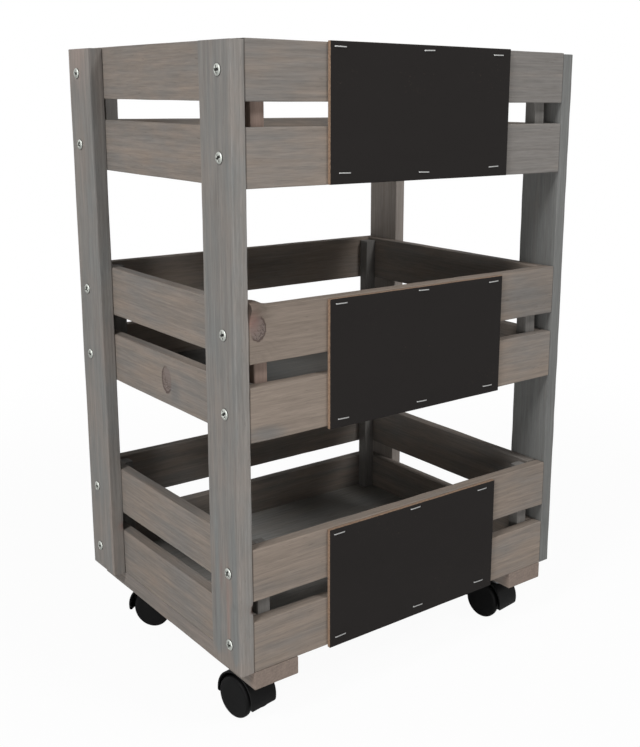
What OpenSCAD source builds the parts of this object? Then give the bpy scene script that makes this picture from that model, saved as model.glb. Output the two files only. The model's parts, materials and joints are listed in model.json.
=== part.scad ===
// Shelf trolley: three open slatted crates held one above another by four
// corner posts, on two battens and four hooded twin-wheel casters, with a
// chalkboard stapled to the front of each crate.
// Millimetres, +Z up, the front faces -Y. The origin is on the floor, under
// the middle of the trolley.

/* [Frame] */
// Overall width across the outer faces of the corner posts
frame_w = 401; // [300:1:600]
// Depth from the face of the front slats to the face of the back slats
frame_d = 305; // [230:1:450]
// Width of a corner post, front to back
post_w = 49.4; // [36:0.1:70]
// Thickness of a corner post
post_t = 13.5; // [9:0.5:20]
// How far the post tops stand below the rim of the top crate
post_drop = 1.2; // [0:0.1:8]
// Radius of the sanded long edges of every board
edge_r = 1; // [0.4:0.1:2.5]

/* [Crates] */
// Height of one slat
slat_h = 48.8; // [36:0.1:70]
// Thickness of a slat
slat_t = 12; // [8:0.5:16]
// Open gap between the lower and the upper slat
slat_gap = 20; // [10:0.5:40]
// Height from the bottom of one crate to the bottom of the next
crate_pitch = 214.9; // [190:0.1:320]
// Thickness of a crate's floor board
floor_t = 9; // [5:0.5:14]
// Side of the square corner cleats
cleat_w = 13.5; // [12:0.5:24]
// How far the cleat tops stand below the rim of their crate
cleat_drop = 3; // [0:0.5:12]
// Gap between a cleat and the notch for it in the floor board
notch_gap = 0.3; // [0.2:0.1:1]

/* [Battens] */
// Width of a batten under the bottom crate
batten_w = 47.7; // [40:0.1:80]
// Thickness of a batten
batten_t = 17.4; // [14:0.1:30]

/* [Chalkboards] */
// Length of a chalkboard
board_w = 212.9; // [140:0.1:260]
// Height of a chalkboard
board_h = 118.3; // [112:0.1:122]
// Thickness of a chalkboard
board_t = 4; // [2:0.1:6]
// How far the boards are set to the right of the middle
board_shift = 0.4; // [-20:0.1:20]
// How far the top board's upper edge is below the rim of its crate, or above it where negative
top_board_drop = -0.9; // [-2:0.1:4]
// How far the middle board's upper edge is below the rim of its crate
middle_board_drop = 1.2; // [0:0.1:4]
// How far the bottom board's upper edge is below the rim of its crate
bottom_board_drop = 1.1; // [0:0.1:4]

/* [Staples] */
// Length of a staple's crown
crown_l = 12.9; // [8:0.1:20]
// Width of the staple wire
wire_w = 1.3; // [0.8:0.1:2]
// Thickness of the staple wire
wire_t = 0.7; // [0.4:0.1:1.2]
// Length of a staple's legs behind the crown
leg_l = 9; // [6:0.5:12]
// Length of the chisel point on each leg
leg_point = 2.6; // [1:0.1:4]
// Distance of the outer staples from the ends of a board
staple_end = 14; // [8:0.5:40]
// Distance of the upper staples from a board's top edge
staple_top = 4.7; // [3:0.1:14]
// Distance of the lower staples from a board's bottom edge
staple_foot = 8; // [3:0.1:14]

/* [Post screws] */
// Diameter of the screw shank
screw_d = 4; // [3:0.1:5]
// Length of the screw shank
screw_l = 35; // [30:0.5:37]
// Length of the shank's point
screw_point = 4; // [2:0.5:8]
// Diameter of the point's blunt end
screw_tip_d = 1; // [0.6:0.1:1.6]
// Diameter of the domed screw head
head_d = 10; // [8:0.1:12]
// Height of the domed screw head
head_h = 2.2; // [1.4:0.1:3]
// Distance of the screws from the front or back face of the crates
screw_inset = 18.6; // [16:0.1:22]
// Width of the cross recess in a screw head
recess_w = 1; // [0.6:0.1:1.4]
// Length of each arm of the cross recess, tip to tip
recess_l = 4.6; // [3:0.1:6]
// Depth of the cross recess
recess_h = 1.2; // [0.6:0.1:1.2]

/* [Casters] */
// Radius of a wheel
wheel_r = 20.5; // [19:0.1:21]
// Width of one wheel
wheel_w = 10.3; // [8:0.1:16]
// Thickness of the web that carries both wheels
web_t = 9.6; // [9:0.1:14]
// Gap between a wheel and the web
wheel_gap = 0.4; // [0.3:0.1:1]
// Horizontal offset of the wheel axle from the kingpin
trail = 8; // [6:0.5:9]
// Gap between a wheel's tread and the inside of the hood, before the hood's offset
hood_gap = 2.6; // [2.6:0.1:4]
// Wall of the hood
hood_t = 1.6; // [1.2:0.1:2.2]
// How far the hood is set from the axle, towards the kingpin
hood_shift = 1.8; // [0.5:0.1:2]
// How far the hood is set above the axle
hood_lift = 1.9; // [0.5:0.1:2.2]
// Gap between the top of the hood and the caster's plate
plate_gap = 2; // [2:0.1:10]
// How far the hood's rim hangs below the axle
hood_skirt = 3.2; // [1:0.1:5]
// Angle that the hood is turned by about the axle, which lowers its rim on the kingpin's side
hood_tilt = 3; // [0:0.5:6]
// Radius of the corners of the hood's rim
rim_r = 1.6; // [0.5:0.1:4]
// How far each wheel's face stands proud of the hood
face_proud = 0.5; // [0:0.1:2]
// Radius of the lug round the axle, between the wheels
lug_r = 9; // [6:0.5:12]
// Radius of the rounded shoulder at a wheel's outer face
shoulder_r = 3.2; // [1.5:0.1:3.2]
// Width of the flat tread, behind the shoulder
tread_w = 1.8; // [1:0.1:3]
// Radius of a wheel at its inner side, where the bevel ends
bevel_r = 16.4; // [15.5:0.1:17]
// Thickness of a wheel's outer disc
disc_t = 2.8; // [2:0.1:4]
// Radius of the cavity in a wheel's inner side
dish_r = 14; // [11:0.1:14.5]
// Radius of a wheel's hub
hub_r = 5.5; // [4.5:0.1:8]
// Diameter of the wheel axle
axle_d = 5; // [4:0.1:6]
// Length of the bevel on each end of the axle
axle_bevel = 0.5; // [0.2:0.1:1]
// Diameter of the kingpin
pin_d = 6; // [5:0.1:6]
// Height of the kingpin's tip above the axle
pin_lift = 1.4; // [1:0.1:3]
// Height of the groove that holds the kingpin in the housing
groove_h = 1.6; // [1.2:0.1:2.4]
// Depth of the kingpin's groove
groove_depth = 0.6; // [0.4:0.1:0.8]
// Diameter of the collar under the caster's plate
collar_d = 11; // [8:0.5:14]
// Thickness of the collar
collar_t = 1.4; // [1:0.1:1.8]
// Diameter of the swivel boss on top of the hood
boss_d = 14; // [11:0.5:16]
// Radial clearance of each turning fit
run_clear = 0.05; // [0.03:0.01:0.08]
// Radial clearance of the kingpin's groove in the ring that holds it
ring_clear = 0.1; // [0.05:0.01:0.1]

/* [Caster plates] */
// Width of a caster's plate, across the batten
plate_w = 32; // [30:0.5:36]
// Length of a caster's plate, along the batten
plate_l = 38; // [36:0.5:50]
// Thickness of a caster's plate
plate_t = 2; // [1.5:0.1:3]
// Radius of the plate's corners
plate_r = 4; // [2:0.5:6]
// Spacing of the plate's screws across the batten
plate_screw_x = 22; // [20:0.5:24]
// Spacing of the plate's screws along the batten
plate_screw_y = 28; // [26:0.5:30]
// Diameter of the plate screws
plate_screw_d = 3.5; // [3:0.1:4]
// Length of the plate screws, head excluded
plate_screw_l = 14; // [10:0.5:15]
// Length of a plate screw's point
plate_screw_point = 3.5; // [2:0.5:5]
// Diameter of the plate screw's blunt end
plate_screw_tip_d = 0.9; // [0.6:0.1:1.4]
// Diameter of the plate screws' heads
plate_head_d = 6.4; // [5.5:0.1:7]
// Height of the plate screws' heads
plate_head_h = 1.6; // [1:0.1:1.8]
// Width of the cross recess in a plate screw
plate_recess_w = 0.8; // [0.5:0.1:1]
// Length of the recess, tip to tip
plate_recess_l = 3; // [2:0.1:4]
// Depth of the recess
plate_recess_h = 0.8; // [0.4:0.1:0.8]

/* [Caster places] */
// Front left kingpin: distance from the crate's left side
front_left_x = 20.3; // [17:0.1:31.5]
// Front left kingpin: distance from the front face
front_left_y = 39; // [30:0.1:80]
// Front left caster: angle that it rests at
front_left_turn = -171; // [-180:0.5:180]
// Front right kingpin: distance from the crate's right side
front_right_x = 30.4; // [17:0.1:31.5]
// Front right kingpin: distance from the front face
front_right_y = 36.7; // [30:0.1:80]
// Front right caster: angle that it rests at
front_right_turn = -172.5; // [-180:0.5:180]
// Back left kingpin: distance from the crate's left side
back_left_x = 31.5; // [17:0.1:31.5]
// Back left kingpin: distance from the back face
back_left_y = 41.6; // [30:0.1:80]
// Back left caster: angle that it rests at
back_left_turn = 36; // [-180:0.5:180]
// Back right kingpin: distance from the crate's right side
back_right_x = 26; // [17:0.1:31.5]
// Back right kingpin: distance from the back face
back_right_y = 39; // [30:0.1:80]
// Back right caster: angle that it rests at
back_right_turn = 20; // [-180:0.5:180]

/* [Hidden] */
$fn = 48;

// Cuts run this far past the face that they open
cut = 1;
// Clearance round a fixed pin, screw or staple leg in its hole
snug = 0.05;
// Play along an axis between a pin or axle and what turns on it
end_play = 0.2;

// Crate levels and sides
crates = ["bottom", "middle", "top"];
rows = ["lower", "upper"];
crate_w = frame_w - 2 * post_t;
crate_h = 2 * slat_h + slat_gap;
front_proud = board_t + wire_t;
y_front = (front_proud - frame_d) / 2;
y_back = y_front + frame_d;
x_side = crate_w / 2;
hood_r = wheel_r + hood_gap + hood_t;
hood_top = wheel_r + hood_lift * cos(hood_tilt) - hood_shift * sin(hood_tilt) + hood_r;
z_plate = hood_top + plate_gap;
z_batten = z_plate + plate_t;
z_base = z_batten + batten_t;
function crate_z(c) = z_base + c * crate_pitch;
function slat_z(c, u) = crate_z(c) + u * (slat_h + slat_gap);
function slat_mid(c, u) = slat_z(c, u) + slat_h / 2;

// Chalkboards and their staples, which were driven by hand a little off their marks:
// for each crate, the lower and the upper row of staples, each as [right, up]
board_x = board_shift - board_w / 2;
board_drop = [bottom_board_drop, middle_board_drop, top_board_drop];
function board_z(c) = crate_z(c) + crate_h - board_drop[c] - board_h;
staple_wander = [
    [[[-1.5, 1.5], [3, 1.5], [-5, 2.5]], [[-3, -0.5], [-2.5, 1], [-4, -1]]],
    [[[1, 0], [2.5, -0.5], [-2, 0]], [[-1.5, 0], [2.5, 1.5], [2, 0]]],
    [[[1.5, 1.5], [-0.5, -1], [-4, 1]], [[-3.5, 0], [3.5, 0], [-2, -1.5]]]
];
staple_marks = [staple_end, board_w / 2, board_w - staple_end];
staple_rows = [staple_foot, board_h - staple_top];
function staple_place(c, u, i) = [
    board_x + staple_marks[i] + staple_wander[c][u][i].x,
    y_front - board_t,
    board_z(c) + staple_rows[u] + staple_wander[c][u][i].y
];

// Screws: two in each side slat at each post
screw_y = [y_front + screw_inset, y_back - screw_inset];

// Casters, in the order of their names
corners = ["front_left", "front_right", "back_left", "back_right"];
kingpins = [
    [-x_side + front_left_x, y_front + front_left_y, front_left_turn],
    [x_side - front_right_x, y_front + front_right_y, front_right_turn],
    [-x_side + back_left_x, y_back - back_left_y, back_left_turn],
    [x_side - back_right_x, y_back - back_right_y, back_right_turn]
];
wheel_face = web_t / 2 + wheel_gap + wheel_w;
axle_l = 2 * (wheel_face - disc_t - end_play);
hood_w = 2 * (wheel_face - face_proud);
axle_at = [-trail, wheel_r];
hood_at = [hood_shift - trail, wheel_r + hood_lift];
z_rim = wheel_r - hood_skirt;
z_boss = z_plate - collar_t - end_play / 2;
pin_tip = wheel_r + axle_d / 2 + pin_lift;
groove_z = pin_tip + groove_h;
neck_d = pin_d - 2 * groove_depth;

// Rectangle with one corner at the origin and true arcs at its corners
module rounded(x, y, r) {
    translate([r, 0]) square([x - 2 * r, y]);
    translate([0, r]) square([x, y - 2 * r]);
    for (cx = [r, x - r], cy = [r, y - r])
        translate([cx, cy]) circle(r);
}

// Sawn boards with sanded long edges, lying along X, along Y and upright
module board_along_x(size) {
    rotate([90, 0, 90]) linear_extrude(size.x) rounded(size.y, size.z, edge_r);
}

module board_along_y(size) {
    translate([0, size.y, 0]) rotate([90, 0, 0])
        linear_extrude(size.y) rounded(size.x, size.z, edge_r);
}

module board_upright(size) {
    linear_extrude(size.z) rounded(size.x, size.y, edge_r);
}

// Holes for the legs of the staples of one row, driven back from the board's face
module staple_holes(c, u) {
    for (i = [0:2], side = [-1, 1])
        translate(staple_place(c, u, i) + [side * (crown_l - wire_t) / 2, 0, 0])
            translate([-wire_t / 2 - snug, -cut, -wire_w / 2 - snug])
                cube([wire_t + 2 * snug, leg_l + cut + snug, wire_w + 2 * snug]);
}

// Holes along X for the post screws of one row, on the left side of the crates
module screw_holes(c, u, clearance) {
    for (y = screw_y)
        translate([-frame_w / 2 - cut, y, slat_mid(c, u)])
            rotate([0, 90, 0]) cylinder(d = screw_d + 2 * clearance, h = screw_l + cut + snug);
}

// Puts what is made for the left side on the left or on the right
module on_side(right) {
    mirror([right ? 1 : 0, 0, 0]) children();
}

module front_slat(c, u) {
    color("#83807a") difference() {
        translate([-x_side, y_front, slat_z(c, u)]) board_along_x([crate_w, slat_t, slat_h]);
        staple_holes(c, u);
    }
}

module back_slat(c, u) {
    color("#83807a")
        translate([-x_side, y_back - slat_t, slat_z(c, u)]) board_along_x([crate_w, slat_t, slat_h]);
}

module side_slat(c, u, right) {
    color("#827b73") on_side(right) difference() {
        translate([-x_side, y_front + slat_t, slat_z(c, u)])
            board_along_y([slat_t, frame_d - 2 * slat_t, slat_h]);
        screw_holes(c, u, 2 * snug);
    }
}

// The floor board fills its crate and is notched round the cleats
module crate_floor(c) {
    notch = cleat_w + notch_gap;
    size = [crate_w - 2 * slat_t, frame_d - 2 * slat_t];
    color("#76736e")
        translate([-x_side + slat_t, y_front + slat_t, crate_z(c)]) linear_extrude(floor_t) difference() {
            square(size);
            for (x = [-cut, size.x - notch], y = [-cut, size.y - notch])
                translate([x, y]) square(notch + cut);
        }
}

// The four corner cleats of a crate, inside its slats
module cleats(c) {
    color("#7d7a74") for (right = [false, true]) on_side(right) difference() {
        for (y = [y_front + slat_t, y_back - slat_t - cleat_w])
            translate([-x_side + slat_t, y, crate_z(c)])
                board_upright([cleat_w, cleat_w, crate_h - cleat_drop]);
        for (u = [0, 1]) screw_holes(c, u, snug);
    }
}

module post(right, back) {
    color("#807f7e") on_side(right) difference() {
        translate([-frame_w / 2, back ? y_back - post_w : y_front, z_base])
            board_upright([post_t, post_w, 2 * crate_pitch + crate_h - post_drop]);
        for (c = [0:2], u = [0, 1]) screw_holes(c, u, 2 * snug);
    }
}

// Battens lie under the bottom crate, flush with its sides, front and back
module batten(right) {
    color("#84817c") difference() {
        on_side(right) translate([-x_side, y_front, z_batten])
            board_along_y([batten_w, frame_d, batten_t]);
        at_plate_screws() translate([0, 0, -cut])
            cylinder(d = plate_screw_d + 2 * snug, h = cut + plate_screw_l - plate_t + snug);
    }
}

module chalkboard(c) {
    color("#2b2826") difference() {
        translate([board_x, y_front - board_t, board_z(c)]) cube([board_w, board_t, board_h]);
        for (u = [0, 1]) staple_holes(c, u);
    }
}

// One staple: a flat crown on the board and two legs with chisel points
module staple() {
    translate([0, 0, -wire_w / 2]) linear_extrude(wire_w) {
        translate([-crown_l / 2, -wire_t]) square([crown_l, wire_t]);
        for (side = [-1, 1]) translate([side * (crown_l - wire_t) / 2, 0])
            polygon([
                [-wire_t / 2, 0], [wire_t / 2, 0], [wire_t / 2, leg_l - leg_point],
                [-side * wire_t / 2, leg_l], [-wire_t / 2, leg_l - leg_point]
            ]);
    }
}

module chalkboard_staples() {
    color("#c9c9c6") for (c = [0:2], u = [0, 1], i = [0:2])
        translate(staple_place(c, u, i)) staple();
}

// Screw along +Z, its domed head below the origin. The point is [length, end diameter],
// and the cross recess is [width, length, depth].
module wood_screw(d, l, point, cap_d, cap_h, recess) {
    dome_r = (pow(cap_d / 2, 2) + pow(cap_h, 2)) / (2 * cap_h);
    cylinder(d = d, h = l - point.x);
    translate([0, 0, l - point.x]) cylinder(d1 = d, d2 = point.y, h = point.x);
    difference() {
        intersection() {
            translate([0, 0, dome_r - cap_h]) sphere(dome_r);
            translate([0, 0, -cap_h]) cylinder(d = cap_d, h = cap_h);
        }
        for (turn = [0, 90]) rotate([0, 0, turn])
            translate([-recess.y / 2, -recess.x / 2, -cap_h - cut])
                cube([recess.y, recess.x, cut + recess.z]);
    }
}

module post_screws() {
    color("#b9b9b5") for (right = [false, true]) on_side(right)
        for (c = [0:2], u = [0, 1], y = screw_y)
            translate([-frame_w / 2, y, slat_mid(c, u)]) rotate([0, 90, 0]) wood_screw(
                screw_d, screw_l, [screw_point, screw_tip_d], head_d, head_h, [recess_w, recess_l, recess_h]
            );
}

// Puts its children at every kingpin, on the batten's underside
module at_kingpins() {
    for (k = kingpins) translate([k.x, k.y, z_batten]) children();
}

module at_plate_screws() {
    at_kingpins() for (x = [-1, 1], y = [-1, 1])
        translate([x * plate_screw_x / 2, y * plate_screw_y / 2, 0]) children();
}

module caster_plates() {
    color("#6f7072") difference() {
        at_kingpins() translate([-plate_w / 2, -plate_l / 2, -plate_t])
            linear_extrude(plate_t) rounded(plate_w, plate_l, plate_r);
        at_plate_screws() translate([0, 0, -plate_t - cut])
            cylinder(d = plate_screw_d + 4 * snug, h = plate_t + 2 * cut);
        at_kingpins() translate([0, 0, -plate_t - cut])
            cylinder(d = pin_d + 2 * snug, h = plate_t + 2 * cut);
    }
}

module caster_plate_screws() {
    color("#a9a9a6") at_plate_screws() translate([0, 0, -plate_t]) wood_screw(
        plate_screw_d, plate_screw_l, [plate_screw_point, plate_screw_tip_d],
        plate_head_d, plate_head_h, [plate_recess_w, plate_recess_l, plate_recess_h]
    );
}

// A kingpin is riveted in its plate, bears on the boss with its collar and is
// held in the housing by the groove near its tip
module caster_kingpins() {
    color("#8f9092") for (k = kingpins) translate([k.x, k.y, 0]) {
        translate([0, 0, pin_tip]) cylinder(d = pin_d, h = groove_z - pin_tip);
        translate([0, 0, groove_z]) cylinder(d = neck_d, h = groove_h);
        translate([0, 0, groove_z + groove_h]) cylinder(d = pin_d, h = z_batten - groove_z - groove_h);
        translate([0, 0, z_plate - collar_t]) cylinder(d = collar_d, h = collar_t);
    }
}

// Bore for a kingpin, with the ring that snaps into its groove left standing
module kingpin_bore() {
    bore_d = pin_d + 2 * run_clear;
    translate([0, 0, pin_tip - end_play])
        cylinder(d = bore_d, h = groove_z - pin_tip + 2 * end_play);
    translate([0, 0, groove_z]) cylinder(d = neck_d + 2 * ring_clear, h = groove_h);
    translate([0, 0, groove_z + groove_h - end_play])
        cylinder(d = bore_d, h = z_boss + cut - groove_z - groove_h + end_play);
}

// Places a caster's own frame: X along its axle, the kingpin on Z
module at_caster(i) {
    translate([kingpins[i].x, kingpins[i].y, 0]) rotate([0, 0, kingpins[i].z]) children();
}

// Cylinder along a caster's X, centred there, with its middle line at a place [y, z]
module roll(place, r, w) {
    translate([-w / 2, place.x, place.y]) rotate([0, 90, 0]) cylinder(r = r, h = w, $fn = 96);
}

// Turns what belongs to the hood about the axle
module tilted() {
    translate([0, axle_at.x, axle_at.y]) rotate([-hood_tilt, 0, 0])
        translate([0, -axle_at.x, -axle_at.y]) children();
}

// Everything above the level that the hood's rim is cut to, the rim's corners rounded
module above_rim(w) {
    length = 2 * (hood_r + cut);
    translate([-w / 2, hood_at.x + length / 2, z_rim]) rotate([90, 0, 0])
        linear_extrude(length) rounded(w, 2 * hood_r, rim_r);
}

// Hood over both wheels, part of a tube that lies along the axle
module hood() {
    tilted() intersection() {
        difference() {
            roll(hood_at, hood_r, hood_w);
            roll(hood_at, hood_r - hood_t, hood_w + 2 * cut);
        }
        above_rim(hood_w);
    }
}

// Web between the wheels, with its lug round the axle
module web() {
    tilted() intersection() {
        roll(hood_at, hood_r - hood_t / 2, web_t);
        above_rim(web_t + 2 * (rim_r + cut));
    }
    roll(axle_at, lug_r, web_t);
}

// Swivel boss, which stands on the hood
module boss() {
    difference() {
        translate([0, 0, wheel_r]) cylinder(d = boss_d, h = z_boss - wheel_r);
        tilted() roll(hood_at, hood_r - hood_t / 2, boss_d + 2 * cut);
    }
}

module caster_housing(i) {
    color("#1d1d1e") at_caster(i) difference() {
        union() {
            hood();
            web();
            boss();
        }
        kingpin_bore();
        roll(axle_at, axle_d / 2 + snug, web_t + 2 * cut);
    }
}

module caster_axle(i) {
    tip_d = axle_d - 2 * axle_bevel;
    color("#9a9b9d") at_caster(i) translate([-axle_l / 2, -trail, wheel_r]) rotate([0, 90, 0]) {
        cylinder(d1 = tip_d, d2 = axle_d, h = axle_bevel);
        translate([0, 0, axle_bevel]) cylinder(d = axle_d, h = axle_l - 2 * axle_bevel);
        translate([0, 0, axle_l - axle_bevel]) cylinder(d1 = axle_d, d2 = tip_d, h = axle_bevel);
    }
}

// Half section of a wheel: x is the radius, y runs inwards from the outer face
module wheel_section() {
    bevel_start = shoulder_r + tread_w;
    difference() {
        union() {
            square([wheel_r - shoulder_r, shoulder_r]);
            translate([wheel_r - shoulder_r, shoulder_r]) circle(shoulder_r);
            polygon([
                [0, shoulder_r], [wheel_r, shoulder_r], [wheel_r, bevel_start],
                [bevel_r, wheel_w], [0, wheel_w]
            ]);
        }
        translate([hub_r, disc_t]) square([dish_r - hub_r, wheel_w]);
        translate([-cut, disc_t]) square([cut + axle_d / 2 + run_clear, wheel_w]);
    }
}

module caster_wheel(i, side) {
    color("#222224") at_caster(i) translate([side * wheel_face, -trail, wheel_r])
        rotate([0, -side * 90, 0]) rotate_extrude($fn = 96) wheel_section();
}

for (c = [0:2], u = [0, 1]) {
    front_slat(c, u);
    back_slat(c, u);
    side_slat(c, u, false);
    side_slat(c, u, true);
}
for (c = [0:2]) {
    crate_floor(c);
    cleats(c);
    chalkboard(c);
}
post(false, false);  // front_left_post
post(true, false);  // front_right_post
post(false, true);  // back_left_post
post(true, true);  // back_right_post
batten(false);  // left_batten
batten(true);  // right_batten
chalkboard_staples();
post_screws();
caster_plates();
caster_plate_screws();
caster_kingpins();
for (i = [0:3]) {
    caster_housing(i);
    caster_axle(i);
    caster_wheel(i, -1);
    caster_wheel(i, 1);
}
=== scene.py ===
"""The look of a shelf trolley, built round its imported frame.

Washed pine boards, chalkboards, staples, screws and black casters are worked
out as numpy surfaces in the row frame, in metres, and each one takes the place
of the solid that it stands for.
"""
import json
import logging
import math
from dataclasses import dataclass
from enum import Enum
from typing import Any, Dict, List, Optional, Sequence, Tuple, Union

import bmesh
import bpy
import numpy as np
from mathutils import Euler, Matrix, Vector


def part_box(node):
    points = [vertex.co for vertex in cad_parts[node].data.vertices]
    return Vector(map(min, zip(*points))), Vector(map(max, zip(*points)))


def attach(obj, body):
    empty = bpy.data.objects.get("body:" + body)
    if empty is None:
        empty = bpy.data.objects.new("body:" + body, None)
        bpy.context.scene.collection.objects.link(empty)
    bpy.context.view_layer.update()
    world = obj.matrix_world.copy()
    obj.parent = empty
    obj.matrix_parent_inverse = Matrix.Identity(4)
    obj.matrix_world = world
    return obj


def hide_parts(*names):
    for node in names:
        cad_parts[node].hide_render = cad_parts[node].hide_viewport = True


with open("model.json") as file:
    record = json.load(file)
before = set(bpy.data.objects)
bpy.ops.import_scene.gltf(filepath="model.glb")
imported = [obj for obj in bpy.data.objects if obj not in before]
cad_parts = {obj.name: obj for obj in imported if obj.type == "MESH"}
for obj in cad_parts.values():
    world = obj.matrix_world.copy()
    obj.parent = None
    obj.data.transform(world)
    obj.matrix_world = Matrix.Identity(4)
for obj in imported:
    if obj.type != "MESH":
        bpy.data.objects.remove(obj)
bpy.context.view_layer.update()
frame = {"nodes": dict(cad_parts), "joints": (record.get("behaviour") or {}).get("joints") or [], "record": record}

LOG = logging.getLogger("shelf_trolley")
MM = 0.001
Array = np.ndarray
Piece = bpy.types.Object
Colour = Tuple[float, float, float]
Number = Union[float, "Field"]
Span = Tuple[float, float]
# Points, and their faces in blocks that each hold faces with equally many corners
Shell = Tuple[Array, List[Array]]


class Along(Enum):
    """The row axis that a board's grain runs along."""

    X = 0
    Y = 1
    Z = 2


class Level(Enum):
    """The three crates, from the floor up."""

    BOTTOM = "bottom"
    MIDDLE = "middle"
    TOP = "top"


class Side(Enum):
    """The sides of a crate. A caster's wheels and the battens are left or right."""

    FRONT = "front"
    BACK = "back"
    LEFT = "left"
    RIGHT = "right"


class Corner(Enum):
    """The trolley's corners, each with a post and a caster."""

    FRONT_LEFT = "front_left"
    FRONT_RIGHT = "front_right"
    BACK_LEFT = "back_left"
    BACK_RIGHT = "back_right"


# Shader maths


@dataclass(frozen=True)
class Field:
    """A node's output that takes part in Python arithmetic, which adds Math nodes."""

    graph: "Graph"
    socket: bpy.types.NodeSocket

    def __add__(self, other: Number) -> "Field":
        """self + other."""
        return self.graph.math("ADD", self, other)

    def __sub__(self, other: Number) -> "Field":
        """self - other."""
        return self.graph.math("SUBTRACT", self, other)

    def __rsub__(self, other: Number) -> "Field":
        """other - self."""
        return self.graph.math("SUBTRACT", other, self)

    def __mul__(self, other: Number) -> "Field":
        """self * other."""
        return self.graph.math("MULTIPLY", self, other)

    def __truediv__(self, other: Number) -> "Field":
        """self / other."""
        return self.graph.math("DIVIDE", self, other)

    __radd__ = __add__
    __rmul__ = __mul__


class Graph:
    """The nodes of one material or world."""

    def __init__(self, owner: Union[bpy.types.Material, bpy.types.World]) -> None:
        """Starts with no nodes.

        Args:
            owner: The new material or world.
        """
        owner.use_nodes = True
        self.owner = owner
        self.tree = owner.node_tree
        self.tree.nodes.clear()

    def node(self, kind: str, settings: Optional[Dict[str, Any]] = None,
             sockets: Optional[Dict[Any, Any]] = None, out: Union[int, str] = 0) -> Field:
        """Adds a node.

        Args:
            kind: The node's type.
            settings: Its settings, set first.
            sockets: Values or links of its inputs, by name or number.
            out: The output that is wanted.

        Returns:
            That output.
        """
        new = self.tree.nodes.new(kind)
        for key, value in (settings or {}).items():
            setattr(new, key, value)
        for key, value in (sockets or {}).items():
            if isinstance(value, Field):
                self.tree.links.new(value.socket, new.inputs[key])
            else:
                new.inputs[key].default_value = value
        return Field(self, new.outputs[out])

    def math(self, operation: str, *values: Number) -> Field:
        """A Math node's result."""
        return self.node("ShaderNodeMath", {"operation": operation}, dict(enumerate(values)))

    def step(self, value: Field, low: Number, high: Number) -> Field:
        """A smooth step from 0 at low to 1 at high, which falls where low is above high."""
        return self.node("ShaderNodeMapRange", {"interpolation_type": "SMOOTHSTEP"},
                         {"Value": value, "From Min": low, "From Max": high})

    def band(self, value: Field, rise: Span, fall: Span) -> Field:
        """1 between two smooth steps, one up and one down, and 0 outside them."""
        return self.step(value, *rise) * self.step(value, *fall)

    def attribute(self, name: str, out: str = "Vector") -> Field:
        """The piece's own attribute of that name."""
        return self.node("ShaderNodeAttribute", {"attribute_name": name}, out=out)

    def place(self) -> Field:
        """Object coordinates, in metres."""
        return self.node("ShaderNodeTexCoord", out="Object")

    def split(self, vector: Field) -> Tuple[Field, Field, Field]:
        """The three parts of a vector."""
        parts = self.node("ShaderNodeSeparateXYZ", sockets={0: vector}).socket.node
        return tuple(Field(self, output) for output in parts.outputs)

    def join(self, x: Number, y: Number, z: Number) -> Field:
        """A vector of three numbers."""
        return self.node("ShaderNodeCombineXYZ", sockets={0: x, 1: y, 2: z})

    def noise(self, vector: Field, scale: float = 1.0, detail: float = 3.0,
              roughness: float = 0.55) -> Field:
        """Noise between 0 and 1, about 0.5 on average."""
        return self.node("ShaderNodeTexNoise", {"noise_dimensions": "3D"}, {
            "Vector": vector, "Scale": scale, "Detail": detail, "Roughness": roughness})

    def blend(self, share: Number, low: Union[Colour, Field], high: Union[Colour, Field],
              mode: str = "MIX") -> Field:
        """The colour low with a share of high mixed in, from 0 to 1."""
        pair = [c if isinstance(c, Field) else (*c, 1.0) for c in (low, high)]
        return self.node("ShaderNodeMix", {"data_type": "RGBA", "blend_type": mode},
                         {0: share, 6: pair[0], 7: pair[1]}, out=2)

    def darken(self, colour: Field, shade: Field) -> Field:
        """A colour times a number."""
        grey = self.node("ShaderNodeCombineColor", sockets={0: shade, 1: shade, 2: shade})
        return self.blend(1.0, colour, grey, "MULTIPLY")

    def bump(self, height: Field, strength: float, distance: float) -> Field:
        """The normal over a height from 0 to 1, where 1 stands for a distance in metres."""
        return self.node("ShaderNodeBump", sockets={
            "Height": height, "Strength": strength, "Distance": distance}, out="Normal")

    def finish(self, shader: Field) -> Any:
        """Links a shader to the output.

        Args:
            shader: The shader node's output.

        Returns:
            The finished material or world.
        """
        kind = "World" if isinstance(self.owner, bpy.types.World) else "Material"
        output = self.tree.nodes.new(f"ShaderNodeOutput{kind}")
        self.tree.links.new(shader.socket, output.inputs["Surface"])
        return self.owner


_made: Dict["Finish", bpy.types.Material] = {}


@dataclass(frozen=True)
class Finish:
    """A finish makes its material once and hands out the same one after that.

    Where it has a field bump, that holds the bump's strength and depth in metres.
    """

    name: str
    slot: str

    def material(self) -> bpy.types.Material:
        """The finish's material.

        Returns:
            The material, new at the first call.
        """
        if self not in _made:
            g = Graph(bpy.data.materials.new(self.name))
            _made[self] = g.finish(g.node("ShaderNodeBsdfPrincipled", sockets=self.inputs(g)))
        return _made[self]

    def inputs(self, g: Graph) -> Dict[str, Any]:
        """Values and links of the Principled shader's inputs."""
        raise NotImplementedError


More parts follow.
